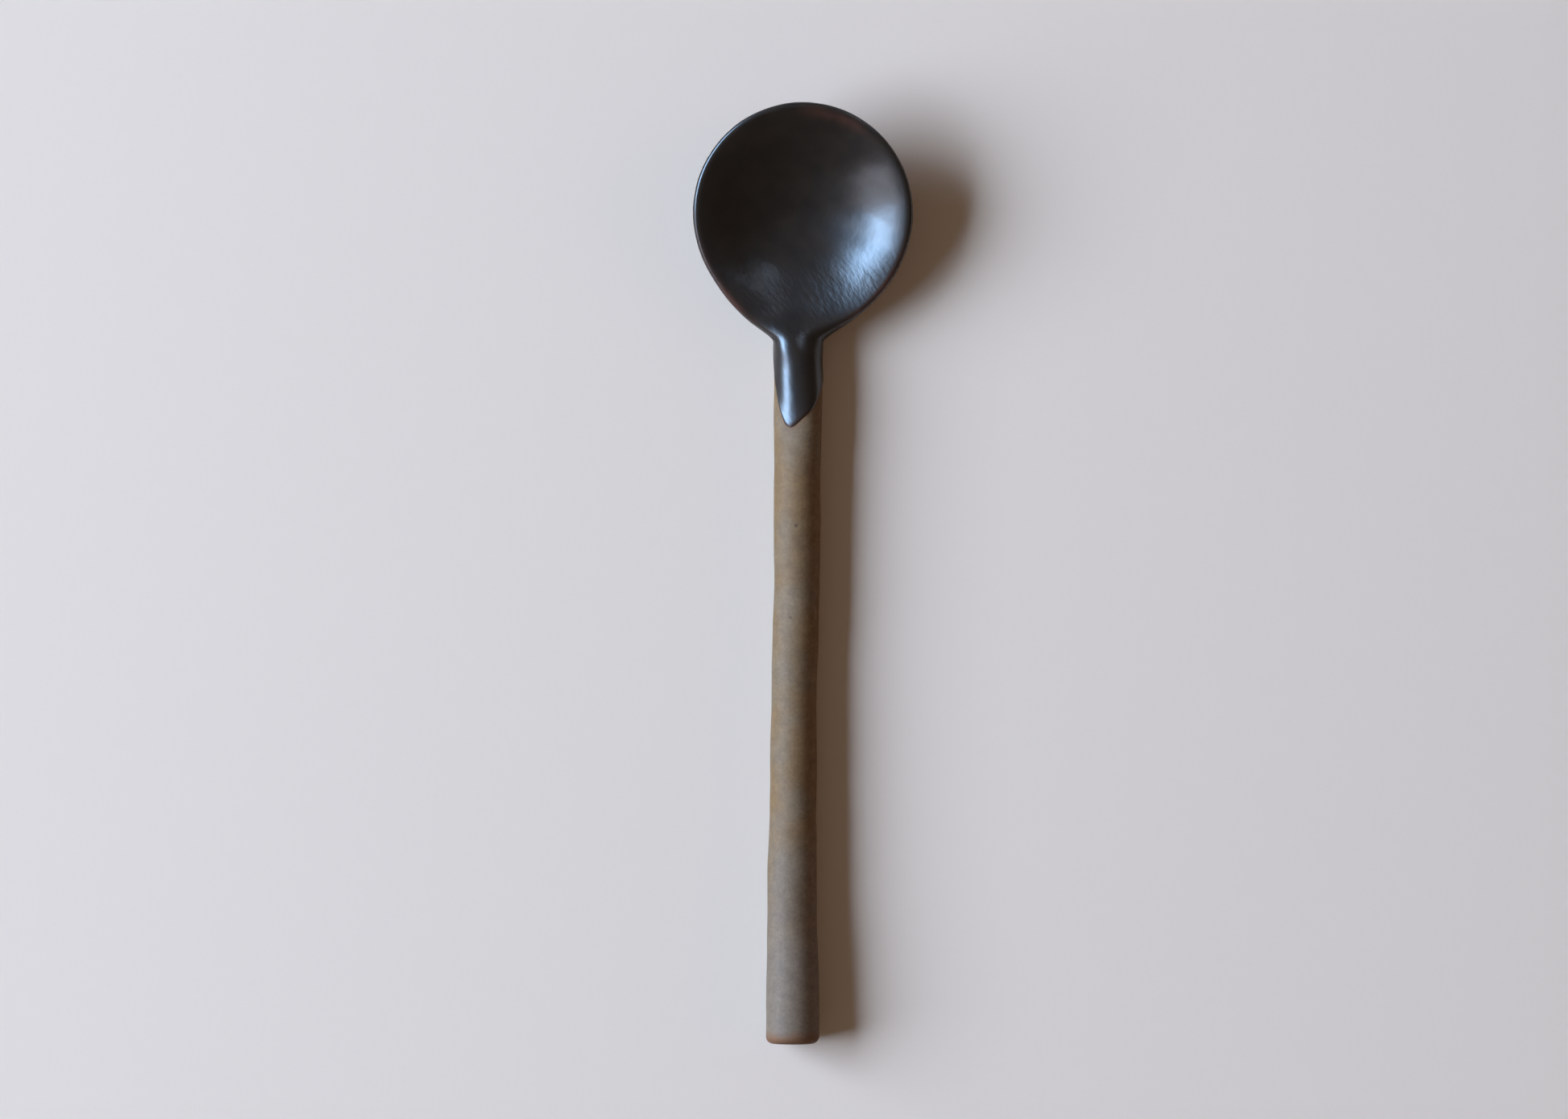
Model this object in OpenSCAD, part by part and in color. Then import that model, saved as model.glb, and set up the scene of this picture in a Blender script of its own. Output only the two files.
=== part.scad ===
// Ceramic tea spoon, hand built in one piece: a round shallow bowl on a plain round handle.
// Millimetres. The length runs along Y with the bowl at +Y, and Z is up.
// The origin is under the middle of the spoon, on the surface that it lies on.

/* [Spoon] */
// Length from the tip of the bowl to the end of the handle
spoon_l = 140; // [115:1:170]

/* [Bowl] */
// Radius of the bowl, to the outside of its lip
bowl_r = 16.4; // [14:0.1:20]
// Distance from the bowl's centre to where its two shoulders would meet in the neck
bowl_reach = 18.8; // [17:0.1:24]
// Depth of the hollow below the rim, in the middle of the bowl
hollow_depth = 5.2; // [4.5:0.1:7]
// Thickness of the clay under the middle of the hollow
floor_t = 3.9; // [2.5:0.1:5]
// Width of the lip, from the outside of the bowl to the edge of the hollow
lip_t = 1.5; // [1:0.1:2.5]
// Radius of the rounding along the outside of the lip
lip_round = 1.1; // [0.4:0.05:1.4]
// Softness of the edge between the lip and the hollow
hollow_round = 0.9; // [0.2:0.1:1.5]
// Rise of the rim towards the tip of the bowl, in degrees
rim_tilt = 10; // [0:0.5:12]
// Roundness of the bowl's underside: 0.5 is an ellipse, 1 is a parabola
belly = 0.9; // [0.6:0.05:1.2]
// Radius of the flat spot that the bowl stands on
foot_r = 4.5; // [2:0.1:7]

/* [Neck] */
// Size of the fillet between the shoulders and the sides of the handle
neck_fillet = 3; // [1:0.1:5]
// Length over which the round section of the handle opens into the bowl
neck_blend = 7; // [4:0.5:10]
// Height of the hollow under the instep, between the bowl's foot and the handle
instep = 0.8; // [0:0.1:1.5]
// Length of the rise from the underside of the handle to the instep
instep_l = 12; // [6:1:20]

/* [Handle] */
// Width of the handle where it leaves the bowl
neck_w = 7.3; // [6:0.1:9]
// Thickness of the handle where it leaves the bowl
neck_t = 7; // [5.5:0.1:8]
// Width of the handle at its narrowest
waist_w = 6.8; // [5.5:0.1:9]
// Thickness of the handle at its narrowest
waist_t = 6.6; // [5:0.1:8]
// Distance of the narrowest place from the end of the handle
waist_at = 51; // [35:1:65]
// Width of the handle at its cut end
tail_w = 8.1; // [6:0.1:11]
// Thickness of the handle at its cut end
tail_t = 7.5; // [5.5:0.1:9]
// Height of the cut end's underside above the surface that the spoon lies on
tail_lift = 0.4; // [0:0.1:1.5]
// Radius of the rounded edge round the cut end
end_round = 1.2; // [0.4:0.1:2.5]
// Sideways place of the handle where it leaves the bowl
neck_shift = -0.75; // [-2:0.05:2]
// Sideways place of the cut end of the handle
tail_shift = -1.55; // [-4:0.05:4]

/* [Hidden] */

// Places along the length
tip_y = spoon_l / 2;
tail_y = -spoon_l / 2;
bowl_y = tip_y - bowl_r;
neck_y = bowl_y - bowl_reach;
waist_y = tail_y + waist_at;
blend_start_y = neck_y - neck_blend / 4;
instep_y = blend_start_y + neck_blend;
bend_start_y = waist_y + 0.7 * (neck_y - waist_y);
bend_end_y = waist_y + 0.5 * (tail_y - waist_y);

// Heights of the bowl
rim_z = floor_t + hollow_depth;
edge_z = rim_z - lip_round;
hollow_r = bowl_r - lip_t;
hollow_reach = bowl_reach - lip_t;
foot_share = 1 - pow(1 - pow(foot_r / bowl_r, 2), belly);
foot_dip = pow(bowl_r * tan(rim_tilt), 2) / (4 * belly * edge_z);
belly_depth = (edge_z - foot_dip) / (1 - foot_share);

// Numbers of facets
end_steps = 4;
handle_steps = 34;
neck_steps = 14;
bowl_steps = 11;
side_steps = 14;
fan_steps = 32;

// A smooth step from 0 to 1
function ease(t) = let (s = min(1, max(0, t))) s * s * (3 - 2 * s);

// A value part of the way from a to b
function mix(a, b, t) = a + (b - a) * t;

// The larger and the smaller of two values, with a rounded corner of size k between them
function round_max(a, b, k) = max(a, b) + pow(max(0, k - abs(a - b)), 2) / (4 * k);
function round_min(a, b, k) = min(a, b) - pow(max(0, k - abs(a - b)), 2) / (4 * k);

// Square of the half width of a bowl of radius r, at t below its centre. It leaves the circle
// with the same curvature and runs into two nearly straight shoulders that meet at reach.
function shoulder_sq(t, r, reach) =
    r * r * (1 - pow(t / reach, 2)) * (1 - t * t * (1 / (r * r) - 1 / (reach * reach)));

// A size of the handle at y, from its values at the neck, the waist and the tail
function along(y, at_neck, at_waist, at_tail) = y > waist_y
    ? mix(at_waist, at_neck, pow(min(1, (y - waist_y) / (neck_y - waist_y)), 2))
    : mix(at_waist, at_tail, pow((waist_y - y) / (waist_y - tail_y), 1.5));

// How far the surface draws in at y, where the edge of the cut end is rounded
function end_inset(y) =
    let (d = min(end_round, y - tail_y)) end_round - sqrt(d * (2 * end_round - d));

// The handle: half width, half thickness, and height of its underside
function bar_w(y) = along(y, neck_w, waist_w, tail_w) / 2 - end_inset(y);
function bar_h(y) = along(y, neck_t, waist_t, tail_t) / 2 - end_inset(y);
function bar_under(y) = tail_lift * pow(max(0, (waist_y - y) / waist_at), 1.5) + end_inset(y);
function bar_mid(y) = bar_under(y) + bar_h(y);

// The plan view: half width of the bowl, of the hollow's edge and of the whole spoon
function bowl_w(y) = y > bowl_y - bowl_reach
    ? sqrt(max(0, shoulder_sq(bowl_y - y, bowl_r, bowl_reach)))
    : 0;
function half_w(y) = round_max(bowl_w(y), bar_w(y), neck_fillet);

// The middle of the spoon, which the handle leaves in a slight bend
function middle_x(y) =
    neck_shift * ease((bowl_y - bowl_reach / 2 - y) / (0.65 * bowl_reach))
    + (tail_shift - neck_shift) * ease((bend_start_y - y) / (bend_start_y - bend_end_y));

// From 0 on the handle to 1 in the bowl
function opened(y) = ease((y - blend_start_y) / neck_blend);

// Heights along the middle: the rim's plane, the side edge and the underside
function rim_at(y) = rim_z + (y - bowl_y) * tan(rim_tilt);
function side_z(y) = mix(bar_mid(y), rim_at(y) - lip_round, opened(y));
function keel(y) = bar_under(y) + instep * ease((y - instep_y + instep_l) / instep_l);
function belly_z(y) = rim_at(y) - lip_round - belly_depth * pow(pow(bowl_w(y) / bowl_r, 2), belly);
function under(y) = mix(bar_under(y), round_min(belly_z(y), keel(y), hollow_round), opened(y));

// The hollow, where left is what remains of the square of its half width
function hollow_z(y, left) = rim_at(y) - hollow_depth * left / (hollow_r * hollow_r);

// The lip, which is rounded down to the side edge over the inset from the outline
function lip_z(y, inset) =
    let (d = min(1, inset / lip_round)) rim_at(y) - lip_round + lip_round * sqrt(d * (2 - d));

// How much wider than its true width a slanted lip is across the spoon
function slant(y) = let (d = 0.05) norm([1, (half_w(y + d) - half_w(y - d)) / (2 * d)]);

// One point of a section across the spoon, where u runs from -1 at one side to 1 at the other
function section_top(y, u) =
    let (
        w = half_w(y),
        below = min(bowl_y - y, hollow_reach + lip_t),
        left = shoulder_sq(below, hollow_r, hollow_reach) - pow(w * u, 2),
        bar = bar_mid(y) + bar_h(y) * sqrt(1 - u * u),
        dish = round_min(lip_z(y, w * (1 - abs(u)) / slant(y)), hollow_z(y, left), hollow_round)
    )
    [middle_x(y) + w * u, y, mix(bar, dish, opened(y))];
function section_under(y, u) =
    let (z = side_z(y) - (side_z(y) - under(y)) * pow(1 - u * u, mix(0.5, belly, opened(y))))
    [middle_x(y) + half_w(y) * u, y, max(0, z)];

// One point of the round end of the bowl, at the share u of its radius in direction a
function round_top(a, u) =
    let (r = bowl_r * u, y = bowl_y + r * sin(a))
    [r * cos(a), y, round_min(lip_z(y, bowl_r - r), hollow_z(y, pow(hollow_r, 2) - r * r), hollow_round)];
function round_under(a, u) =
    let (r = bowl_r * u, y = bowl_y + r * sin(a))
    [r * cos(a), y, max(0, rim_at(y) - lip_round - belly_depth * pow(1 - u * u, belly))];

// The sections from the cut end to the middle of the bowl, closest at the cut end and the neck
handle_end_y = neck_y - 2;
neck_end_y = neck_y + 8;
section_ys = concat(
    [for (i = [0:end_steps]) tail_y + end_round * (1 - cos(90 * i / end_steps))],
    [for (i = [1:handle_steps]) mix(tail_y + end_round, handle_end_y, i / handle_steps)],
    [for (i = [1:neck_steps]) mix(handle_end_y, neck_end_y, i / neck_steps)],
    [for (i = [1:bowl_steps]) mix(neck_end_y, bowl_y, i / bowl_steps)]
);
last = len(section_ys) - 1;
across = 2 * side_steps;

// Shares of the half width, closer together towards the edge
function share(j) = sin(90 * j / side_steps);

// Points of the top and of the underside: every section, then the rays of the round end
function skin(top) = concat(
    [for (y = section_ys) for (j = [-side_steps:side_steps])
        top ? section_top(y, share(j)) : section_under(y, share(j))],
    [for (k = [1:fan_steps - 1]) for (j = [1:side_steps])
        let (a = 180 - 180 * k / fan_steps) top ? round_top(a, share(j)) : round_under(a, share(j))]
);
sections_n = (last + 1) * (across + 1);
skin_n = sections_n + (fan_steps - 1) * side_steps;

// Numbers of the points. The underside (s = 1) shares the points of the outline with the top (s = 0).
function section_id(s, i, j) =
    (j == 0 || j == across ? 0 : s * skin_n) + i * (across + 1) + j;
function ray_id(s, k, j) =
    k == 0 || j == 0 ? section_id(s, last, side_steps - j)
    : k == fan_steps ? section_id(s, last, side_steps + j)
    : (j == side_steps ? 0 : s * skin_n) + sections_n + (k - 1) * side_steps + j - 1;

// Two triangles for each four-sided cell, turned over for the underside
function cell(s, a, b, c, d) = s == 0 ? [[a, b, c], [a, c, d]] : [[c, b, a], [d, c, a]];
function skin_faces(s) = [
    for (i = [0:last - 1]) for (j = [0:across - 1])
        each cell(s, section_id(s, i, j), section_id(s, i + 1, j),
            section_id(s, i + 1, j + 1), section_id(s, i, j + 1)),
    for (k = [0:fan_steps - 1]) for (j = [1:side_steps - 1])
        each cell(s, ray_id(s, k, j), ray_id(s, k, j + 1),
            ray_id(s, k + 1, j + 1), ray_id(s, k + 1, j)),
    for (k = [0:fan_steps - 1])
        s == 0
            ? [ray_id(s, k, 0), ray_id(s, k, 1), ray_id(s, k + 1, 1)]
            : [ray_id(s, k + 1, 1), ray_id(s, k, 1), ray_id(s, k, 0)]
];

// The flat face of the cut end
end_face = concat(
    [for (j = [0:across]) section_id(0, 0, j)],
    [for (j = [across - 1:-1:1]) section_id(1, 0, j)]
);

module spoon() {
    color("saddlebrown")
        polyhedron(
            points = concat(skin(true), skin(false)),
            faces = concat(skin_faces(0), skin_faces(1), [end_face]),
            convexity = 6
        );
}

spoon();
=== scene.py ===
"""Dresses a hand-built stoneware tea spoon: its glazed bowl, its bare clay handle, light and camera.

The spoon's form is worked out again here at a finer pitch than in the fixed frame, from the frame's
own length and width, so that the lip, the hollow and the edge of the glaze are true surfaces.
"""

import logging
import math
from dataclasses import dataclass, field
from enum import Enum

import bpy
import numpy as np
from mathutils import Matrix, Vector

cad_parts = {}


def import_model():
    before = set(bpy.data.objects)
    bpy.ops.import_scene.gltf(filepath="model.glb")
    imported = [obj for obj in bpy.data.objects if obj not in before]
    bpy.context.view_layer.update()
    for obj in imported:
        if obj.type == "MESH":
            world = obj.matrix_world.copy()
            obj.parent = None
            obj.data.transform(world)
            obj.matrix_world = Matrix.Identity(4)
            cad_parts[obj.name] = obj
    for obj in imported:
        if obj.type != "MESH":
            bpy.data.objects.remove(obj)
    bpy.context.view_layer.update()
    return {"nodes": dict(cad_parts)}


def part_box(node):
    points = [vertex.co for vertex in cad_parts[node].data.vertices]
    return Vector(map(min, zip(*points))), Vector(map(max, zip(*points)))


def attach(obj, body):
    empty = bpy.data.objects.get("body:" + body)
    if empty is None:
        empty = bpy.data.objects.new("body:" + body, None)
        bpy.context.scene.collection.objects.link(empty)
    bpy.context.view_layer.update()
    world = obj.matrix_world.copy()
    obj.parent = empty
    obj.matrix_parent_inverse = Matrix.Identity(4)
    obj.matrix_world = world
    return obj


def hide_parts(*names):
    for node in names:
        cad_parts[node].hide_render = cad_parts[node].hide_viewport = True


LOG = logging.getLogger("tea_spoon")
MM = 0.001
Array = np.ndarray


class Slot(Enum):
    """The finishes of the spoon, in the order of its material slots."""

    CLAY = 0
    GLAZE = 1


def linear(hex_colour: str) -> tuple[float, float, float, float]:
    """Turns an sRGB hex colour to linear light.

    Args:
        hex_colour: A colour such as "#25221F".

    Returns:
        Linear red, green and blue, and an alpha of 1.
    """
    parts = [int(hex_colour[i:i + 2], 16) / 255 for i in (1, 3, 5)]
    light = [c / 12.92 if c <= 0.04045 else ((c + 0.055) / 1.055) ** 2.4 for c in parts]
    return (*light, 1.0)


def add_node(tree: bpy.types.NodeTree, kind: str, settings: dict | None = None,
             links: dict | None = None) -> bpy.types.Node:
    """Adds one node to a tree.

    Args:
        tree: The tree that takes the node.
        kind: The node's type, without its "ShaderNode" start.
        settings: Values by attribute name, or by input name or number.
        links: The output that feeds each input, by input name or number.

    Returns:
        The new node.
    """
    node = tree.nodes.new("ShaderNode" + kind)
    for key, value in (settings or {}).items():
        if isinstance(key, str) and hasattr(node, key):
            setattr(node, key, value)
        else:
            node.inputs[key].default_value = value
    for key, output in (links or {}).items():
        tree.links.new(output, node.inputs[key])
    return node


def new_material(name: str) -> tuple[bpy.types.Material, bpy.types.NodeTree]:
    """Starts a material with an empty node tree.

    Args:
        name: The material's name.

    Returns:
        The material and its tree.
    """
    material = bpy.data.materials.new(name)
    material.use_nodes = True
    material.node_tree.nodes.clear()
    return material, material.node_tree


def ease(share: Array) -> Array:
    """A smooth step: 0 below 0, 1 above 1, and level at both ends."""
    s = np.clip(share, 0.0, 1.0)
    return s * s * (3 - 2 * s)


def mix(low: Array, high: Array, share: Array) -> Array:
    """The value that lies the given share of the way from low to high."""
    return low + (high - low) * share


def round_max(a: Array, b: Array, corner: float) -> Array:
    """The larger of two values, with a rounded corner of the given size between them."""
    return np.maximum(a, b) + np.maximum(0.0, corner - np.abs(a - b)) ** 2 / (4 * corner)


def round_min(a: Array, b: Array, corner: float) -> Array:
    """The smaller of two values, with a rounded corner of the given size between them."""
    return np.minimum(a, b) - np.maximum(0.0, corner - np.abs(a - b)) ** 2 / (4 * corner)


@dataclass
class SpoonForm:
    """The form of the spoon in millimetres, with its length along Y and its bowl at +Y."""

    length: float
    bowl_r: float
    bowl_reach: float = 18.8
    hollow_depth: float = 5.2
    floor: float = 3.9
    lip: float = 1.5
    lip_round: float = 1.1
    hollow_round: float = 0.9
    lip_blend: float = 2.0
    rim_tilt: float = math.radians(10)
    belly: float = 0.9
    foot_r: float = 4.5
    neck_fillet: float = 3.0
    neck_blend: float = 7.0
    instep: float = 0.8
    instep_length: float = 12.0
    neck_size: tuple[float, float] = (7.3, 7.0)
    waist_size: tuple[float, float] = (6.8, 6.6)
    tail_size: tuple[float, float] = (8.1, 7.5)
    waist_at: float = 51.0
    tail_lift: float = 0.4
    end_round: float = 1.2
    neck_shift: float = -0.75
    tail_shift: float = -1.55
    bend_start: float = 0.7
    bend_end: float = 0.5
    neck_turn: float = 0.65

    def __post_init__(self) -> None:
        """Works out the places and heights that follow from the sizes."""
        self.tip_y = self.length / 2
        self.tail_y = -self.length / 2
        self.bowl_y = self.tip_y - self.bowl_r
        self.neck_y = self.bowl_y - self.bowl_reach
        self.waist_y = self.tail_y + self.waist_at
        self.blend_start_y = self.neck_y - self.neck_blend / 4
        self.instep_y = self.blend_start_y + self.neck_blend
        self.bend_start_y = self.waist_y + self.bend_start * (self.neck_y - self.waist_y)
        self.bend_end_y = self.waist_y + self.bend_end * (self.tail_y - self.waist_y)
        self.rim_z = self.floor + self.hollow_depth
        self.edge_z = self.rim_z - self.lip_round
        self.hollow_r = self.bowl_r - self.lip
        self.hollow_reach = self.bowl_reach - self.lip
        foot_share = 1 - (1 - (self.foot_r / self.bowl_r) ** 2) ** self.belly
        foot_dip = (self.bowl_r * math.tan(self.rim_tilt)) ** 2 / (4 * self.belly * self.edge_z)
        self.belly_depth = (self.edge_z - foot_dip) / (1 - foot_share)

    @classmethod
    def from_frame(cls, node: str) -> "SpoonForm":
        """Takes the length and the bowl's radius from the box of a node of the frame.

        Args:
            node: The name of the node.

        Returns:
            The form, at the frame's size.
        """
        low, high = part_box(node)
        return cls(length=(high.y - low.y) / MM, bowl_r=(high.x - low.x) / (2 * MM))

    @staticmethod
    def shoulder_sq(below: Array, radius: float, reach: float) -> Array:
        """Square of the half width of a bowl, which leaves its circle with the same curvature.

        Args:
            below: Distance from the bowl's centre towards the handle.
            radius: Radius of the bowl's round end.
            reach: Distance below the centre at which the shoulders would meet.

        Returns:
            The square of the half width, which is negative past the reach.
        """
        curve = 1 / radius ** 2 - 1 / reach ** 2
        return radius ** 2 * (1 - (below / reach) ** 2) * (1 - below ** 2 * curve)

    def along(self, y: Array, side: int) -> Array:
        """Half the handle's width (side 0) or thickness (side 1) at y, before its end is rounded."""
        up = np.clip((y - self.waist_y) / (self.neck_y - self.waist_y), 0.0, 1.0) ** 2
        down = np.clip((self.waist_y - y) / self.waist_at, 0.0, 1.0) ** 1.5
        waist = self.waist_size[side]
        neck, tail = self.neck_size[side], self.tail_size[side]
        return (waist + (neck - waist) * up + (tail - waist) * down) / 2

    def end_inset(self, y: Array) -> Array:
        """How far the surface draws in at y, where the edge of the cut end is rounded."""
        d = np.clip(y - self.tail_y, 0.0, self.end_round)
        return self.end_round - np.sqrt(d * (2 * self.end_round - d))

    def bar_under(self, y: Array) -> Array:
        """Height of the handle's underside at y."""
        down = np.clip((self.waist_y - y) / self.waist_at, 0.0, 1.0)
        return self.tail_lift * down ** 1.5 + self.end_inset(y)

    def bar_half(self, y: Array) -> Array:
        """Half the handle's thickness at y."""
        return self.along(y, 1) - self.end_inset(y)

    def bar_mid(self, y: Array) -> Array:
        """Height of the handle's axis at y."""
        return self.bar_under(y) + self.bar_half(y)

    def bowl_half(self, y: Array) -> Array:
        """Half width of the bowl alone at y, and 0 past its shoulders."""
        below = self.bowl_y - y
        square = self.shoulder_sq(below, self.bowl_r, self.bowl_reach)
        return np.where(below < self.bowl_reach, np.sqrt(np.maximum(0.0, square)), 0.0)

    def half_width(self, y: Array) -> Array:
        """Half width of the whole spoon at y."""
        return round_max(self.bowl_half(y), self.along(y, 0) - self.end_inset(y), self.neck_fillet)

    def middle_x(self, y: Array) -> Array:
        """The sideways place of the spoon's middle, which the handle leaves in a slight bend."""
        neck = ease((self.bowl_y - self.bowl_reach / 2 - y) / (self.neck_turn * self.bowl_reach))
        bend = ease((self.bend_start_y - y) / (self.bend_start_y - self.bend_end_y))
        return self.neck_shift * neck + (self.tail_shift - self.neck_shift) * bend

    def opened(self, y: Array) -> Array:
        """From 0 on the handle to 1 in the bowl."""
        return ease((y - self.blend_start_y) / self.neck_blend)

    def rim_at(self, y: Array) -> Array:
        """Height of the rim's slanted plane at y."""
        return self.rim_z + (y - self.bowl_y) * math.tan(self.rim_tilt)

    def side_z(self, y: Array) -> Array:
        """Height of the outline, where the top meets the underside."""
        return mix(self.bar_mid(y), self.rim_at(y) - self.lip_round, self.opened(y))

    def under(self, y: Array) -> Array:
        """Height of the underside along the middle."""
        rise = ease((y - self.instep_y + self.instep_length) / self.instep_length)
        keel = self.bar_under(y) + self.instep * rise
        share = (self.bowl_half(y) / self.bowl_r) ** 2
        belly_z = self.rim_at(y) - self.lip_round - self.belly_depth * share ** self.belly
        return mix(self.bar_under(y), round_min(belly_z, keel, self.hollow_round), self.opened(y))

    def hollow_z(self, y: Array, left: Array) -> Array:
        """Height of the hollow, where left is what remains of the square of its half width."""
        return self.rim_at(y) - self.hollow_depth * left / self.hollow_r ** 2

    def lip_z(self, y: Array, inset: Array) -> Array:
        """Height of the lip, which is rounded down to the outline over the inset from it."""
        d = np.clip(inset / self.lip_round, 0.0, 1.0)
        return self.rim_at(y) - self.lip_round + self.lip_round * np.sqrt(d * (2 - d))

    def lip_inset(self, y: Array, u: Array) -> Array:
        """True distance from the outline at the share u of the half width."""
        near = 0.05
        slope = (self.half_width(y + near) - self.half_width(y - near)) / (2 * near)
        return self.half_width(y) * (1 - np.abs(u)) / np.hypot(1.0, slope)

    def section_top(self, y: Array, u: Array) -> Array:
        """Points of the top, at places y along and shares u across.

        Args:
            y: Places along the spoon.
            u: Shares of the half width, from -1 to 1.

        Returns:
            Points, with x, y and z in the last axis.
        """
        w = self.half_width(y)
        below = np.minimum(self.bowl_y - y, self.hollow_reach + self.lip)
        left = self.shoulder_sq(below, self.hollow_r, self.hollow_reach) - (w * u) ** 2
        bar = self.bar_mid(y) + self.bar_half(y) * np.sqrt(np.maximum(0.0, 1 - u * u))
        dish = round_min(self.lip_z(y, self.lip_inset(y, u)), self.hollow_z(y, left), self.lip_blend)
        return np.stack([self.middle_x(y) + w * u, y, mix(bar, dish, self.opened(y))], -1)

    def section_under(self, y: Array, u: Array) -> Array:
        """Points of the underside, at places y along and shares u across.

        Args:
            y: Places along the spoon.
            u: Shares of the half width, from -1 to 1.

        Returns:
            Points, with x, y and z in the last axis.
        """
        side = self.side_z(y)
        round_bar = 0.5
        power = mix(round_bar, self.belly, self.opened(y))
        z = side - (side - self.under(y)) * np.maximum(0.0, 1 - u * u) ** power
        return np.stack([self.middle_x(y) + self.half_width(y) * u, y, np.maximum(0.0, z)], -1)

    def round_top(self, angle: Array, u: Array) -> Array:
        """Points of the hollow and lip in the bowl's round end, at the share u of its radius."""
        r = self.bowl_r * u
        y = self.bowl_y + r * np.sin(angle)
        hollow = self.hollow_z(y, self.hollow_r ** 2 - r * r)
        z = round_min(self.lip_z(y, self.bowl_r - r), hollow, self.lip_blend)
        return np.stack([r * np.cos(angle), y, z], -1)

    def round_under(self, angle: Array, u: Array) -> Array:
        """Points of the underside of the bowl's round end, at the share u of its radius."""
        r = self.bowl_r * u
        y = self.bowl_y + r * np.sin(angle)
        depth = self.belly_depth * np.maximum(0.0, 1 - u * u) ** self.belly
        z = np.maximum(0.0, self.rim_at(y) - self.lip_round - depth)
        return np.stack([r * np.cos(angle), y, z], -1)


@dataclass(frozen=True)
class DipLine:
    """The edge of the glaze round the handle, left when the bowl was dipped at a slant.

    Its place along the spoon is a sum of waves round the handle, in millimetres, where the angle
    is 0 at the top of the handle and grows towards +X. The clay is flashed just outside the line,
    and the glaze runs thin just inside it.
    """

    middle: float = 29.25
    cosines: tuple[float, ...] = (-5.91, -1.2, 0.17, 0.74)
    sines: tuple[float, ...] = (-1.21, 1.18, 1.44, -0.57)
    reach: float = 15.0
    flash: float = 0.75
    flash_width: float = 0.5
    thin: float = 0.6
    thin_width: float = 0.45

    def offset(self, angle: Array) -> Array:
        """How far the line lies from its middle at an angle round the handle, in millimetres."""
        waves = enumerate(zip(self.cosines, self.sines), start=1)
        return sum(c * np.cos(k * angle) + s * np.sin(k * angle) for k, (c, s) in waves)

    def bent(self, y: Array, angle: Array) -> Array:
        """Shifts places near the line so that a row of the mesh follows it."""
        near = ease(1 - np.abs(y - self.middle) / self.reach)
        return y + near * self.offset(angle)

    def flash_at(self, inside: Array) -> Array:
        """How flashed the clay is, at the distance inside the line, which is negative on the clay."""
        return self.flash * np.exp(np.minimum(0.0, inside) / self.flash_width)

    def thin_at(self, inside: Array) -> Array:
        """How thin the glaze has run, at the distance inside the line."""
        return self.thin * np.exp(-np.maximum(0.0, inside) / self.thin_width)


@dataclass(frozen=True)
class ThinRim:
    """A stretch of the rim where the glaze has run thin.

    Its inset from the outline and its width are in millimetres. Its heading from the middle of the
    bowl, and its reach either side of that, are in degrees.
    """

    inset: float
    width: float
    heading: float
    reach: float
    most: float

    def thin_at(self, inset: Array, heading: Array) -> Array:
        """How thin the glaze has run, at the distance from the outline and the heading."""
        turn = np.abs((heading - self.heading + 180) % 360 - 180)
        across = np.exp(-((inset - self.inset) / self.width) ** 2)
        return self.most * across * ease(1 - turn / self.reach)


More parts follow.
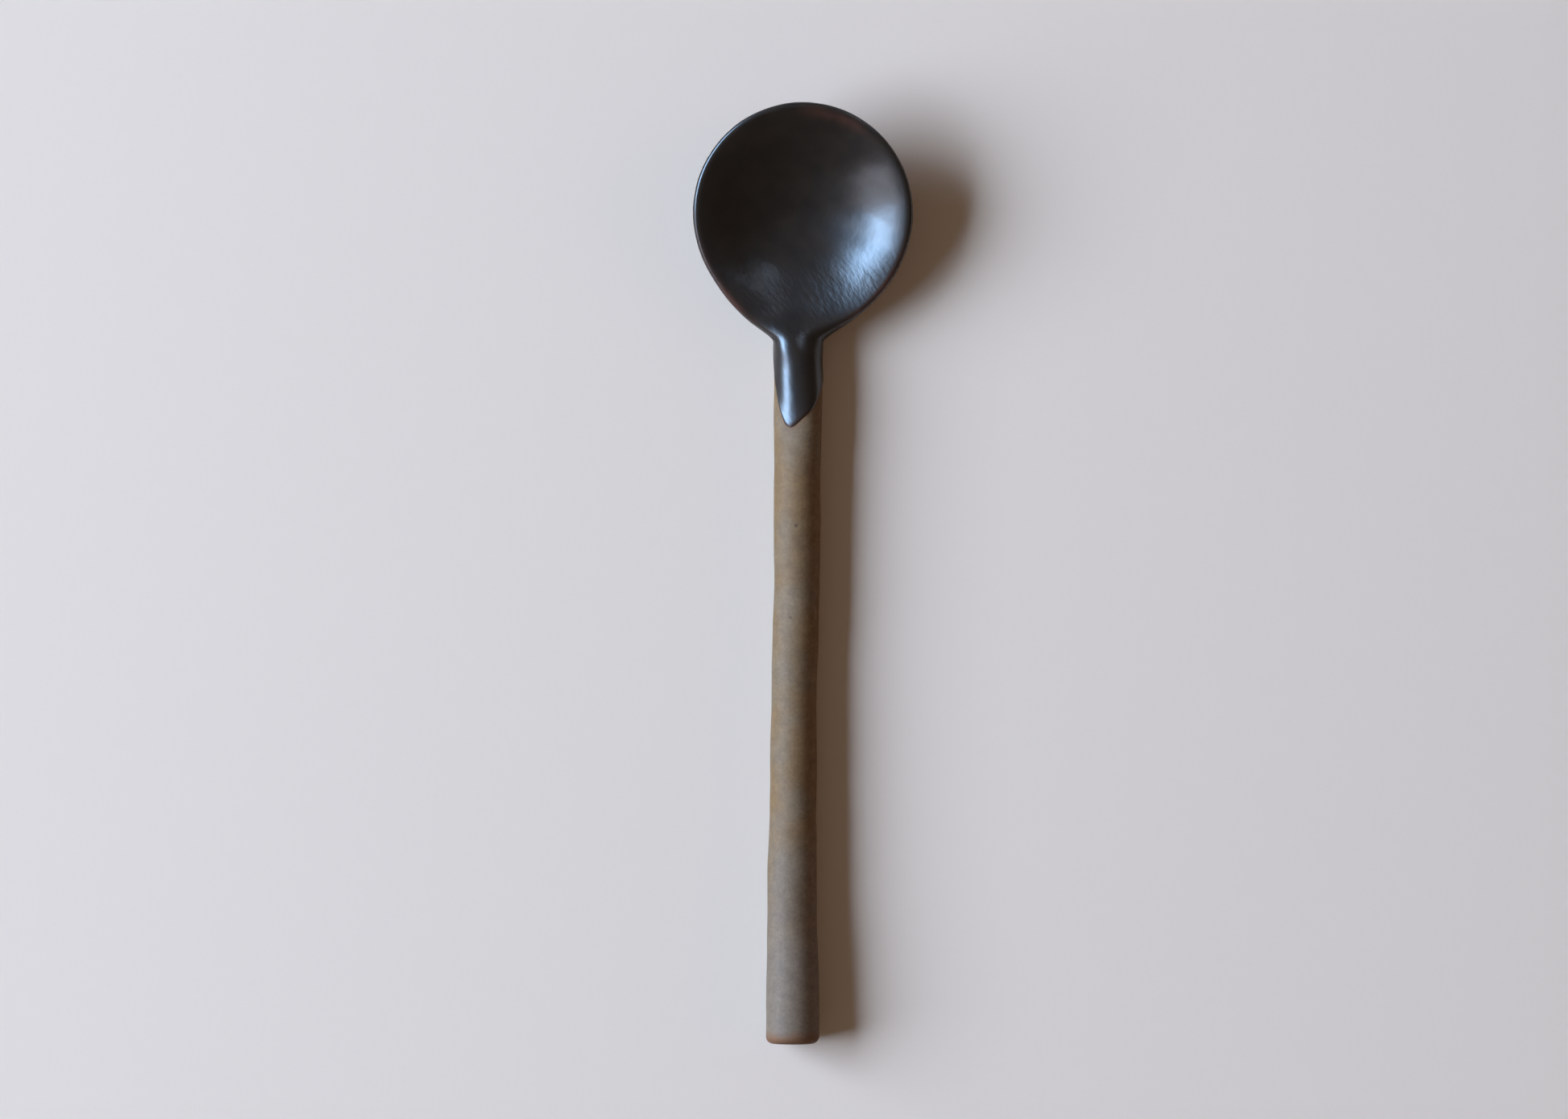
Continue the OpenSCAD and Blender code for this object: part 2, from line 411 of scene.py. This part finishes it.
@dataclass(frozen=True)
class HandWork:
    """The small unevenness of a rolled handle and a pinched bowl, in millimetres.

    Each wave has its height, its length, its turns round the handle or its heading in degrees, and
    its start in radians. Each lean has its place along, its reach and its share of the half width.
    """

    glaze_thickness: float = 0.12
    glaze_roll: float = 0.05
    roll_width: float = 0.5
    bowl_low: float = 0.06
    crest_leans: tuple[tuple[float, float, float], ...] = ((36.0, 6.0, -0.3), (22.0, 9.0, 0.2))
    handle_waves: tuple[tuple[float, float, int, float], ...] = (
        (0.06, 31.0, 1, 0.4), (0.045, 17.0, 2, 2.1), (0.018, 9.5, 3, 4.0), (0.008, 5.2, -2, 1.2))
    bowl_waves: tuple[tuple[float, float, float, float], ...] = (
        (0.035, 9.0, 25.0, 0.6), (0.025, 6.2, 100.0, 2.2), (0.012, 3.4, 60.0, 4.4))
    lip_calm: float = 0.4
    lip_calm_width: float = 5.0
    pebbles_below: float = 4.0
    pebbles_run: float = 7.0
    pebbles_on_round: float = 0.1
    pebbles_on_neck: float = 0.3

    def handle_height(self, y: Array, angle: Array) -> Array:
        """Height of the handle's unevenness at y and at an angle round it."""
        return sum(a * np.sin(2 * math.pi * y / wave + turns * angle + start)
                   for a, wave, turns, start in self.handle_waves)

    def bowl_height(self, x: Array, y: Array, inset: Array) -> Array:
        """Height of the bowl's unevenness at a place in plan, which is calmer near the lip."""
        total = np.zeros_like(x)
        for a, wave, heading, start in self.bowl_waves:
            run = x * math.cos(math.radians(heading)) + y * math.sin(math.radians(heading))
            total += a * np.sin(2 * math.pi * run / wave + start)
        return total * mix(self.lip_calm, 1.0, ease(inset / self.lip_calm_width)) - self.bowl_low

    def glaze_height(self, inside: Array) -> Array:
        """Height of the glaze over the clay, at the distance inside its edge."""
        depth = np.maximum(0.0, inside) / self.roll_width
        skin = 1 - np.exp(-2.5 * depth)
        return self.glaze_thickness * skin + self.glaze_roll * depth * np.exp(1 - depth) * skin

    def lean(self, y: Array) -> Array:
        """How far the crest of the neck leans to +X at y, as a share of its half width."""
        return sum(most * ease(1 - np.abs(y - middle) / reach)
                   for middle, reach, most in self.crest_leans)

    def pebbling(self, below: Array, opened: Array) -> Array:
        """How pebbled the glaze is: fully on the bowl's shoulders, and less on its round end and the neck.

        Args:
            below: Distance from the bowl's middle towards the handle.
            opened: From 0 on the handle to 1 in the bowl.

        Returns:
            The share of pebbling at each point.
        """
        shoulders = ease((below - self.pebbles_below) / self.pebbles_run)
        return mix(self.pebbles_on_round, mix(self.pebbles_on_neck, 1.0, opened), shoulders)


@dataclass
class Pitch:
    """The spacing of the mesh in millimetres, and the number of its points across and round."""

    handle: float = 0.8
    dip: float = 0.4
    dip_edge: float = 0.12
    bowl: float = 0.35
    neck_run: float = 6.0
    edge_rows: int = 10
    end_rows: int = 7
    across: int = 40
    rays: int = 110


@dataclass(frozen=True)
class ToastedStoneware:
    """Bare stoneware clay, fired in reduction and toasted by the flame.

    It has a dull sheen and a fine grit, a tan skin that drifts to brown, greyer ash towards the
    end, and an orange flash along the cut edge and the glaze line. Real grit is finer than this,
    and is drawn coarser so that it shows. Places from the end are in millimetres.
    """

    name: str = "toasted_stoneware"
    skin: str = "#786A55"
    warm: str = "#796446"
    ash: str = "#766D62"
    flash: str = "#755841"
    iron: str = "#584A38"
    roughness: float = 0.65
    ior: float = 1.5
    specular: float = 0.22
    grit_mm: float = 0.45
    grit_range: tuple[float, float] = (0.3, 0.7)
    grit_shades: tuple[float, float] = (0.86, 1.12)
    grit_height_mm: float = 0.03
    freckle_mm: float = 1.6
    freckle_range: tuple[float, float] = (0.35, 0.65)
    freckle_shades: tuple[float, float] = (0.9, 1.08)
    mottle_mm: float = 8.0
    mottle_range: tuple[float, float] = (0.38, 0.6)
    ash_from_end: tuple[float, float] = (45.0, 20.0)
    ash_drift: float = 14.0
    ash_most: float = 0.9
    flash_from_end: tuple[float, float] = (1.3, -0.1)
    flash_drift: float = -1.6
    speck_mm: float = 0.38
    specks: tuple[tuple[float, float, float], ...] = ((-1.0, 7.2, 6.8), (-1.9, -6.5, 6.6))

    def make(self, form: SpoonForm) -> bpy.types.Material:
        """Makes the material.

        Args:
            form: The spoon's form, which says where the ends of the handle are.

        Returns:
            The material.
        """
        material, tree = new_material(self.name)
        place = add_node(tree, "TexCoord").outputs["Object"]
        in_mm = add_node(tree, "Mapping", {"Scale": (1 / MM, 1 / MM, 1 / MM)}, {"Vector": place}).outputs[0]
        along = add_node(tree, "SeparateXYZ", {}, {0: in_mm}).outputs["Y"]
        mottle = add_node(tree, "TexNoise", {"Scale": 1 / self.mottle_mm, "Detail": 3.0},
                          {"Vector": in_mm})
        freckle = add_node(tree, "TexNoise", {"Scale": 1 / self.freckle_mm, "Detail": 3.0,
                                              "Roughness": 0.6}, {"Vector": in_mm})
        grit = add_node(tree, "TexNoise", {"Scale": 1 / self.grit_mm, "Detail": 4.0, "Roughness": 0.6},
                        {"Vector": in_mm})
        low, high = self.mottle_range
        patches = add_node(tree, "MapRange", {"From Min": low, "From Max": high},
                           {"Value": mottle.outputs["Fac"]})
        colour = add_node(tree, "Mix", {"data_type": "RGBA", 6: linear(self.skin), 7: linear(self.warm)},
                          {0: patches.outputs[0]}).outputs[2]
        wobble = add_node(tree, "Math", {"operation": "MULTIPLY_ADD", 1: self.ash_drift},
                          {0: mottle.outputs["Fac"], 2: along})
        none, full = (form.tail_y + place for place in self.ash_from_end)
        ashen = add_node(tree, "MapRange", {"From Min": none, "From Max": full, "To Max": self.ash_most},
                         {"Value": wobble.outputs[0]})
        colour = add_node(tree, "Mix", {"data_type": "RGBA", 7: linear(self.ash)},
                          {0: ashen.outputs[0], 6: colour}).outputs[2]
        uneven = add_node(tree, "Math", {"operation": "MULTIPLY_ADD", 1: self.flash_drift},
                          {0: freckle.outputs["Fac"], 2: along})
        none, full = (form.tail_y + place for place in self.flash_from_end)
        flashed = add_node(tree, "MapRange", {"From Min": none, "From Max": full},
                           {"Value": uneven.outputs[0]})
        near_glaze = add_node(tree, "Attribute", {"attribute_name": "glaze_edge"})
        most = add_node(tree, "Math", {"operation": "MAXIMUM"},
                        {0: flashed.outputs[0], 1: near_glaze.outputs["Fac"]})
        colour = add_node(tree, "Mix", {"data_type": "RGBA", 7: linear(self.flash)},
                          {0: most.outputs[0], 6: colour}).outputs[2]
        for noise, (low, high), (dark, light) in ((grit, self.grit_range, self.grit_shades),
                                                  (freckle, self.freckle_range, self.freckle_shades)):
            shade = add_node(tree, "MapRange", {"From Min": low, "From Max": high, "To Min": dark,
                                                "To Max": light}, {"Value": noise.outputs["Fac"]})
            colour = add_node(tree, "VectorMath", {"operation": "SCALE"},
                              {0: colour, "Scale": shade.outputs[0]}).outputs[0]
        for speck in self.specks:
            away = add_node(tree, "VectorMath", {"operation": "DISTANCE", 1: speck}, {0: in_mm})
            spot = add_node(tree, "MapRange", {"From Min": self.speck_mm,
                                               "From Max": self.speck_mm / 2},
                            {"Value": away.outputs["Value"]})
            colour = add_node(tree, "Mix", {"data_type": "RGBA", 7: linear(self.iron)},
                              {0: spot.outputs[0], 6: colour}).outputs[2]
        bump = add_node(tree, "Bump", {"Strength": 1.0, "Distance": self.grit_height_mm * MM},
                        {"Height": grit.outputs["Fac"]})
        shader = add_node(tree, "BsdfPrincipled", {"Roughness": self.roughness, "IOR": self.ior,
                                                "Specular IOR Level": self.specular},
                          {"Base Color": colour, "Normal": bump.outputs[0]})
        add_node(tree, "OutputMaterial", {}, {"Surface": shader.outputs[0]})
        return material


@dataclass(frozen=True)
class IronGlaze:
    """A thick iron-saturated stoneware glaze, dipped and slowly cooled.

    It is brown-black and satin, breaks to rust where it runs thin over an edge, and has the faint
    ripple and pin holes of a glaze that boiled and healed. Towards the neck it is pebbled in
    ridges, which are drawn coarser than real ones so that they show. Its cloudy bloom is a shade
    lighter than its body.
    """

    name: str = "iron_glaze"
    body: str = "#1C1917"
    bloom: str = "#241F1B"
    thin: str = "#44281E"
    roughness: float = 0.285
    rougher: float = 0.09
    ior: float = 1.55
    ripple_mm: float = 1.3
    pebble_mm: tuple[float, float, float] = (1.5, 0.55, 0.8)
    pebble_heading: float = math.radians(-55)
    bloom_mm: float = 3.0
    bloom_range: tuple[float, float] = (0.4, 0.65)
    break_range: tuple[float, float] = (0.3, 0.6)
    break_least: float = 0.35
    ripple_height_mm: float = 0.018
    pebble_height_mm: float = 0.06
    pin_mm: float = 5.0
    pin_range: tuple[float, float] = (0.03, 0.055)
    pin_depth: float = 1.2

    def make(self) -> bpy.types.Material:
        """Makes the material.

        Returns:
            The material.
        """
        material, tree = new_material(self.name)
        place = add_node(tree, "TexCoord").outputs["Object"]
        in_mm = add_node(tree, "Mapping", {"Scale": (1 / MM, 1 / MM, 1 / MM)}, {"Vector": place}).outputs[0]
        clouds = add_node(tree, "TexNoise", {"Scale": 1 / self.bloom_mm, "Detail": 4.0},
                          {"Vector": in_mm})
        ripple = add_node(tree, "TexNoise", {"Scale": 1 / self.ripple_mm, "Detail": 2.0},
                          {"Vector": in_mm})
        turn = (0.0, 0.0, self.pebble_heading)
        run = add_node(tree, "Mapping", {"vector_type": "TEXTURE", "Rotation": turn,
                                         "Scale": self.pebble_mm}, {"Vector": in_mm})
        pebble = add_node(tree, "TexNoise", {"Scale": 1.0, "Detail": 1.5}, {"Vector": run.outputs[0]})
        pebbled = add_node(tree, "Attribute", {"attribute_name": "glaze_pebble"})
        low, high = self.bloom_range
        patches = add_node(tree, "MapRange", {"From Min": low, "From Max": high},
                           {"Value": clouds.outputs["Fac"]})
        colour = add_node(tree, "Mix", {"data_type": "RGBA", 6: linear(self.body), 7: linear(self.bloom)},
                          {0: patches.outputs[0]}).outputs[2]
        thin = add_node(tree, "Attribute", {"attribute_name": "glaze_thin"})
        low, high = self.break_range
        uneven = add_node(tree, "MapRange", {"From Min": low, "From Max": high, "To Min": self.break_least},
                          {"Value": clouds.outputs["Fac"]})
        broken = add_node(tree, "Math", {"operation": "MULTIPLY", "use_clamp": True},
                          {0: thin.outputs["Fac"], 1: uneven.outputs[0]})
        colour = add_node(tree, "Mix", {"data_type": "RGBA", 7: linear(self.thin)},
                          {0: broken.outputs[0], 6: colour}).outputs[2]
        dulled = add_node(tree, "Math", {"operation": "MAXIMUM"},
                          {0: broken.outputs[0], 1: pebbled.outputs["Fac"]})
        dullest = self.roughness + self.rougher
        satin = add_node(tree, "MapRange", {"To Min": self.roughness, "To Max": dullest},
                         {"Value": dulled.outputs[0]})
        pebble_height = self.pebble_height_mm / self.ripple_height_mm
        grain = add_node(tree, "Math", {"operation": "MULTIPLY", 1: pebble_height},
                         {0: pebbled.outputs["Fac"]})
        heights = add_node(tree, "Math", {"operation": "MULTIPLY_ADD"},
                           {0: pebble.outputs["Fac"], 1: grain.outputs[0], 2: ripple.outputs["Fac"]})
        pins = add_node(tree, "TexVoronoi", {"Scale": 1 / self.pin_mm}, {"Vector": in_mm})
        low, high = self.pin_range
        pit = add_node(tree, "MapRange", {"From Min": low, "From Max": high, "To Min": -self.pin_depth,
                                          "To Max": 0.0}, {"Value": pins.outputs["Distance"]})
        relief = add_node(tree, "Math", {"operation": "ADD"}, {0: heights.outputs[0], 1: pit.outputs[0]})
        bump = add_node(tree, "Bump", {"Strength": 1.0, "Distance": self.ripple_height_mm * MM},
                        {"Height": relief.outputs[0]})
        shader = add_node(tree, "BsdfPrincipled", {"IOR": self.ior},
                          {"Base Color": colour, "Roughness": satin.outputs[0], "Normal": bump.outputs[0]})
        add_node(tree, "OutputMaterial", {}, {"Surface": shader.outputs[0]})
        return material


@dataclass
class TeaSpoon:
    """The spoon: its form, its hand-made unevenness, its glaze line and its finishes."""

    form: SpoonForm
    dip: DipLine = field(default_factory=DipLine)
    hand: HandWork = field(default_factory=HandWork)
    pitch: Pitch = field(default_factory=Pitch)
    clay: ToastedStoneware = field(default_factory=ToastedStoneware)
    glaze: IronGlaze = field(default_factory=IronGlaze)
    thin_rims: tuple[ThinRim, ...] = (
        ThinRim(inset=1.4, width=0.8, heading=71, reach=30, most=0.8),
        ThinRim(inset=0.4, width=0.5, heading=-45, reach=40, most=1.0),
        ThinRim(inset=0.4, width=0.5, heading=-135, reach=45, most=1.0),
    )

    def rows(self) -> Array:
        """Places of the rows across the spoon, from the cut end to the middle of the bowl.

        Returns:
            Places along Y in millimetres, one of which is the middle of the glaze line.
        """
        form, dip, pitch = self.form, self.dip, self.pitch
        edge = pitch.edge_rows * pitch.dip_edge
        stops = (form.tail_y + form.end_round, dip.middle - dip.reach, dip.middle - edge,
                 dip.middle, dip.middle + edge, form.neck_y + pitch.neck_run, form.bowl_y)
        steps = (pitch.handle, pitch.dip, pitch.dip_edge, pitch.dip_edge, pitch.bowl, pitch.bowl)
        turn = np.linspace(0.0, math.pi / 2, pitch.end_rows + 1)
        parts = [form.tail_y + form.end_round * (1 - np.cos(turn))]
        for start, stop, step in zip(stops, stops[1:], steps):
            count = max(2, round((stop - start) / step))
            parts.append(np.linspace(start, stop, count + 1)[1:])
        return np.concatenate(parts)

    def layout(self) -> tuple[Array, Array, Array, Array]:
        """Lays out the points of the top and of the underside, and says where each one is.

        Returns:
            The points, the angle round the handle of each, the distance of each inside the glaze
            line, and the distance of each from the outline, all in millimetres or radians.
        """
        form, across = self.form, self.pitch.across
        steps = np.arange(-across, across + 1)
        turn = steps * (math.pi / 2) / across
        u = np.sin(turn)
        row, share = np.meshgrid(self.rows(), u, indexing="ij")
        ray = np.linspace(math.pi, 0.0, self.pitch.rays + 1)[1:-1]
        ray_turn = turn[across + 1:]
        ray_angle, ray_u = np.meshgrid(ray, np.sin(ray_turn), indexing="ij")
        points, angles, inside, inset = [], [], [], []
        for top in (True, False):
            around = turn if top else np.where(steps == 0, math.pi, np.sign(steps) * math.pi - turn)
            angle = np.broadcast_to(around, row.shape)
            y = self.dip.bent(row, angle)
            section = form.section_top(y, share) if top else form.section_under(y, share)
            lean = top * self.hand.lean(y) * (1 - form.opened(y))
            section[..., 0] += lean * form.half_width(y) * (1 - share * share)
            fan = form.round_top(ray_angle, ray_u) if top else form.round_under(ray_angle, ray_u)
            points += [section.reshape(-1, 3), fan.reshape(-1, 3)]
            angles += [angle.ravel(), np.zeros(fan.size // 3)]
            inside += [(row - self.dip.middle).ravel(), np.full(fan.size // 3, form.bowl_r)]
            inset += [form.lip_inset(y, share).ravel(), (form.bowl_r * (1 - ray_u)).ravel()]
        return tuple(np.concatenate(parts) for parts in (points, angles, inside, inset))

    def faces(self, row_count: int) -> tuple[Array, Array]:
        """Joins the points into four-sided faces.

        Args:
            row_count: The number of rows across the spoon.

        Returns:
            The faces, as numbers of four points, and the material slot of each.
        """
        across, rays = self.pitch.across, self.pitch.rays
        width = 2 * across + 1
        sections = row_count * width
        skin = sections + (rays - 1) * across
        grids, fans = [], []
        for side in (0, 1):
            grid = side * skin + np.arange(sections).reshape(row_count, width)
            grid[:, [0, -1]] -= side * skin
            fan = side * skin + sections + np.arange((rays - 1) * across).reshape(rays - 1, across)
            fan[:, -1] -= side * skin
            left, right = grid[-1, across - 1::-1], grid[-1, across + 1:]
            fan = np.vstack([left, fan, right])
            centre = np.full((rays + 1, 1), grid[-1, across])
            grids.append(grid)
            fans.append(np.hstack([centre, fan]))
        line = int(np.argmin(np.abs(self.rows() - self.dip.middle)))
        quads, slots = [], []
        for side, (grid, fan) in enumerate(zip(grids, fans)):
            for mesh, split in ((grid, line), (fan, 0)):
                cells = np.stack([mesh[:-1, :-1], mesh[1:, :-1], mesh[1:, 1:], mesh[:-1, 1:]], -1)
                cells = cells if (side == 1) == (mesh is grid) else cells[..., ::-1]
                glazed = np.arange(cells.shape[0])[:, None] >= split
                quads.append(cells.reshape(-1, 4))
                slots.append(np.broadcast_to(glazed, cells.shape[:2]).ravel())
        end = np.stack([grids[0][0, :-1], grids[1][0, :-1], grids[1][0, 1:], grids[0][0, 1:]], -1)
        quads.append(end)
        slots.append(np.zeros(len(end), bool))
        return np.concatenate(quads), np.concatenate(slots)

    def build(self) -> bpy.types.Object:
        """Builds the spoon's mesh with its marks for the finishes.

        Returns:
            The object, at its place in the frame.
        """
        points, angles, inside, inset = self.layout()
        quads, glazed = self.faces(len(self.rows()))
        used = np.unique(quads)
        number = np.full(len(points), -1)
        number[used] = np.arange(len(used))
        quads = number[quads]
        points, angles, inside, inset = points[used], angles[used], inside[used], inset[used]
        faces = [tuple(dict.fromkeys(quad)) for quad in quads.tolist()]
        mesh = bpy.data.meshes.new("spoon")
        mesh.from_pydata((points * MM).tolist(), [], faces)
        mesh.polygons.foreach_set("material_index", glazed.astype(np.int32))
        mesh.polygons.foreach_set("use_smooth", np.ones(len(faces), bool))
        mesh.update()
        points = self.worked(mesh, points, angles, inside, inset)
        mesh.vertices.foreach_set("co", (points * MM).ravel().astype(np.float32))
        self.mark(mesh, "glaze_thin", self.thinness(points, inside, inset))
        self.mark(mesh, "glaze_edge", self.dip.flash_at(inside))
        pebbles = self.hand.pebbling(self.form.bowl_y - points[:, 1], self.form.opened(points[:, 1]))
        self.mark(mesh, "glaze_pebble", pebbles)
        mesh.update()
        return self.dress(mesh)

    def worked(self, mesh: bpy.types.Mesh, points: Array, angles: Array, inside: Array,
               inset: Array) -> Array:
        """Moves the points to the uneven surface of hand work and glaze.

        Args:
            mesh: The mesh, which gives the surface's directions.
            points: The points, in millimetres.
            angles: The angle of each point round the handle.
            inside: The distance of each point inside the glaze line.
            inset: The distance of each point from the outline.

        Returns:
            The moved points, none of them below the surface that the spoon lies on.
        """
        form = self.form
        normals = np.empty(len(points) * 3, np.float32)
        mesh.vertex_normals.foreach_get("vector", normals)
        in_bowl = form.opened(points[:, 1])
        handle = self.hand.handle_height(points[:, 1], angles)
        bowl = self.hand.bowl_height(points[:, 0], points[:, 1], inset)
        height = mix(handle + self.hand.glaze_height(inside), bowl, in_bowl)
        clear = ease((points[:, 1] - form.tail_y) / form.end_round)
        moved = points + normals.reshape(-1, 3) * (height * clear)[:, None]
        moved[:, 2] = np.maximum(0.0, moved[:, 2])
        return moved

    def thinness(self, points: Array, inside: Array, inset: Array) -> Array:
        """How thin the glaze has run, from 0 where it is thick to 1 on the sharpest edges.

        Args:
            points: The points, in millimetres.
            inside: The distance of each point inside the glaze line.
            inset: The distance of each point from the outline.

        Returns:
            The share of thinness at each point.
        """
        form = self.form
        heading = np.degrees(np.arctan2(points[:, 1] - form.bowl_y, points[:, 0]))
        rim = sum(stretch.thin_at(inset, heading) for stretch in self.thin_rims)
        return np.clip(rim * form.opened(points[:, 1]) + self.dip.thin_at(inside), 0.0, 1.0)

    @staticmethod
    def mark(mesh: bpy.types.Mesh, name: str, values: Array) -> None:
        """Stores one value at each point of a mesh, for its materials to read."""
        attribute = mesh.attributes.new(name, "FLOAT", "POINT")
        attribute.data.foreach_set("value", values.astype(np.float32))

    def dress(self, mesh: bpy.types.Mesh) -> bpy.types.Object:
        """Gives the mesh its finishes and sets it in the frame.

        Args:
            mesh: The finished mesh.

        Returns:
            The object that stands for the frame's own spoon.
        """
        finishes = {Slot.CLAY: self.clay.make(self.form), Slot.GLAZE: self.glaze.make()}
        for slot in Slot:
            mesh.materials.append(finishes[slot])
        spoon = bpy.data.objects.new("tea_spoon", mesh)
        bpy.context.scene.collection.objects.link(spoon)
        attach(spoon, "root")
        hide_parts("spoon")
        LOG.info("spoon: %d faces, %d of them glazed", len(mesh.polygons),
                 sum(p.material_index == Slot.GLAZE.value for p in mesh.polygons))
        return spoon


@dataclass(frozen=True)
class StudioPaper:
    """Seamless background paper: matt, pale and plain, and evenly bright far from the spoon.

    Its bounce is the darker colour that the spoon's matt clay sees, as the photograph's ground does
    to it. Sizes are in metres.
    """

    name: str = "studio_paper"
    colour: str = "#E8E5E0"
    far: str = "#DAD9DD"
    bounce: str = "#8F8F90"
    roughness: float = 0.95
    half_size: float = 4.0
    fade_start: float = 0.16
    fade_end: float = 0.42

    def make(self) -> bpy.types.Material:
        """Makes the material.

        Returns:
            The material, which gives other pieces less light than it shows to the camera.
        """
        material, tree = new_material(self.name)
        path = add_node(tree, "LightPath")
        shown = add_node(tree, "Math", {"operation": "MAXIMUM"},
                         {0: path.outputs["Is Camera Ray"], 1: path.outputs["Is Glossy Ray"]})
        seen = add_node(tree, "Math", {"operation": "MAXIMUM"},
                        {0: shown.outputs[0], 1: path.outputs["Is Transmission Ray"]})
        colour = add_node(tree, "Mix", {"data_type": "RGBA", 6: linear(self.bounce),
                                        7: linear(self.colour)}, {0: seen.outputs[0]})
        paper = add_node(tree, "BsdfPrincipled", {"Roughness": self.roughness, "Specular IOR Level": 0.0},
                         {"Base Color": colour.outputs[2]})
        even = add_node(tree, "Emission", {"Color": linear(self.far)})
        place = add_node(tree, "TexCoord").outputs["Object"]
        distance = add_node(tree, "VectorMath", {"operation": "LENGTH"}, {0: place})
        far = add_node(tree, "MapRange", {"interpolation_type": "SMOOTHSTEP", "From Min": self.fade_start,
                                          "From Max": self.fade_end}, {"Value": distance.outputs["Value"]})
        share = add_node(tree, "Math", {"operation": "MULTIPLY"}, {0: far.outputs[0], 1: seen.outputs[0]})
        both = add_node(tree, "MixShader", {}, {0: share.outputs[0], 1: paper.outputs[0],
                                                2: even.outputs[0]})
        add_node(tree, "OutputMaterial", {}, {"Surface": both.outputs[0]})
        return material


@dataclass
class SoftBox:
    """A soft rectangular lamp that points at the middle of the spoon.

    Its heading from +X and its elevation are in degrees, its distance and size in metres, and its
    power in watts. It may give only reflections or only diffuse light.
    """

    name: str
    heading: float
    elevation: float
    distance: float
    size: tuple[float, float]
    power: float
    colour: str
    glossy: bool = True
    diffuse: bool = True

    def hang(self) -> None:
        """Adds the lamp to the scene."""
        lamp = bpy.data.lights.new(self.name, "AREA")
        lamp.shape = "RECTANGLE"
        lamp.size, lamp.size_y = self.size
        lamp.energy = self.power
        lamp.color = linear(self.colour)[:3]
        box = bpy.data.objects.new(self.name, lamp)
        heading, elevation = math.radians(self.heading), math.radians(self.elevation)
        way = Vector((math.cos(heading) * math.cos(elevation), math.sin(heading) * math.cos(elevation),
                      math.sin(elevation)))
        box.location = way * self.distance
        box.rotation_euler = way.to_track_quat("Z", "Y").to_euler()
        box.visible_glossy = self.glossy
        box.visible_diffuse = self.diffuse
        box.visible_camera = False
        bpy.context.scene.collection.objects.link(box)
        LOG.info("lamp %s at heading %.0f, elevation %.0f", self.name, self.heading, self.elevation)


@dataclass
class Studio:
    """The table, the lamps, the room's fill and the camera."""

    paper: StudioPaper = field(default_factory=StudioPaper)
    ceiling: float = 0.115
    room: float = 0.14
    fill: str = "#FFE2C4"
    frame_mm: tuple[float, float] = (-2.8, 2.15)
    frame_width_mm: float = 233.3
    object_mm: float = 6.0
    lens: float = 180.0
    lamps: tuple[SoftBox, ...] = (
        SoftBox("window", 174, 29, 1.8, (1.6, 1.1), 64.0, "#E5EEFF", glossy=False),
        SoftBox("window_sheen", 164, 33, 1.7, (1.25, 0.65), 90.0, "#A9D2FF", diffuse=False),
        SoftBox("curtain_sheen", 197, 29, 1.7, (1.3, 0.9), 15.0, "#E4E6F4", diffuse=False),
        SoftBox("far_window", 50, 48, 1.8, (0.42, 0.3), 3.0, "#CFE2FF", diffuse=False),
        SoftBox("ceiling_sheen", 0, 90, 2.2, (1.5, 1.5), 1.1, "#F2F2FF", diffuse=False),
        SoftBox("warm_wall", 5, 22, 1.6, (1.2, 0.8), 2.0, "#FF9E5E", glossy=False),
    )

    def lay_paper(self) -> None:
        """Lays the pale paper under the spoon."""
        s = self.paper.half_size
        mesh = bpy.data.meshes.new("paper")
        mesh.from_pydata([(-s, -s, 0), (s, -s, 0), (s, s, 0), (-s, s, 0)], [], [(0, 1, 2, 3)])
        mesh.materials.append(self.paper.make())
        floor = bpy.data.objects.new("paper", mesh)
        bpy.context.scene.collection.objects.link(floor)

    def fill_room(self) -> None:
        """Lights the room dimly, and shows the paper's colour behind everything."""
        world = bpy.data.worlds.new("room")
        bpy.context.scene.world = world
        world.use_nodes = True
        tree = world.node_tree
        tree.nodes.clear()
        way = add_node(tree, "TexCoord").outputs["Generated"]
        height = add_node(tree, "SeparateXYZ", {}, {0: way}).outputs["Z"]
        level = add_node(tree, "MapRange", {"From Min": 0.0, "From Max": 1.0, "To Min": self.room,
                                            "To Max": self.ceiling}, {"Value": height})
        dim = add_node(tree, "Background", {"Color": linear(self.fill)}, {"Strength": level.outputs[0]})
        pale = add_node(tree, "Background", {"Color": linear(self.paper.far)})
        path = add_node(tree, "LightPath")
        both = add_node(tree, "MixShader", {}, {0: path.outputs["Is Camera Ray"], 1: dim.outputs[0],
                                                2: pale.outputs[0]})
        add_node(tree, "OutputWorld", {}, {"Surface": both.outputs[0]})

    def set_camera(self) -> None:
        """Sets the camera straight above the spoon, at the photograph's framing."""
        camera = bpy.data.cameras.new("camera")
        camera.lens = self.lens
        camera.sensor_fit = "HORIZONTAL"
        camera.clip_start, camera.clip_end = 0.01, 50.0
        eye = bpy.data.objects.new("camera", camera)
        height = self.frame_width_mm * self.lens / camera.sensor_width + self.object_mm
        eye.location = Vector((*self.frame_mm, height)) * MM
        bpy.context.scene.collection.objects.link(eye)
        bpy.context.scene.camera = eye

    def set_up(self) -> None:
        """Puts everything round the spoon in its place."""
        self.set_camera()
        self.lay_paper()
        self.fill_room()
        for lamp in self.lamps:
            lamp.hang()
        bpy.context.scene.view_settings.view_transform = "Standard"
        LOG.info("studio: %d lamps", len(self.lamps))


def main() -> None:
    """Loads the frame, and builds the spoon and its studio."""
    logging.basicConfig(level=logging.INFO, format="%(name)s: %(message)s")
    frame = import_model()
    LOG.info("frame: nodes %s", sorted(frame["nodes"]))
    TeaSpoon(SpoonForm.from_frame("spoon")).build()
    Studio().set_up()


if __name__ == "__main__":
    main()
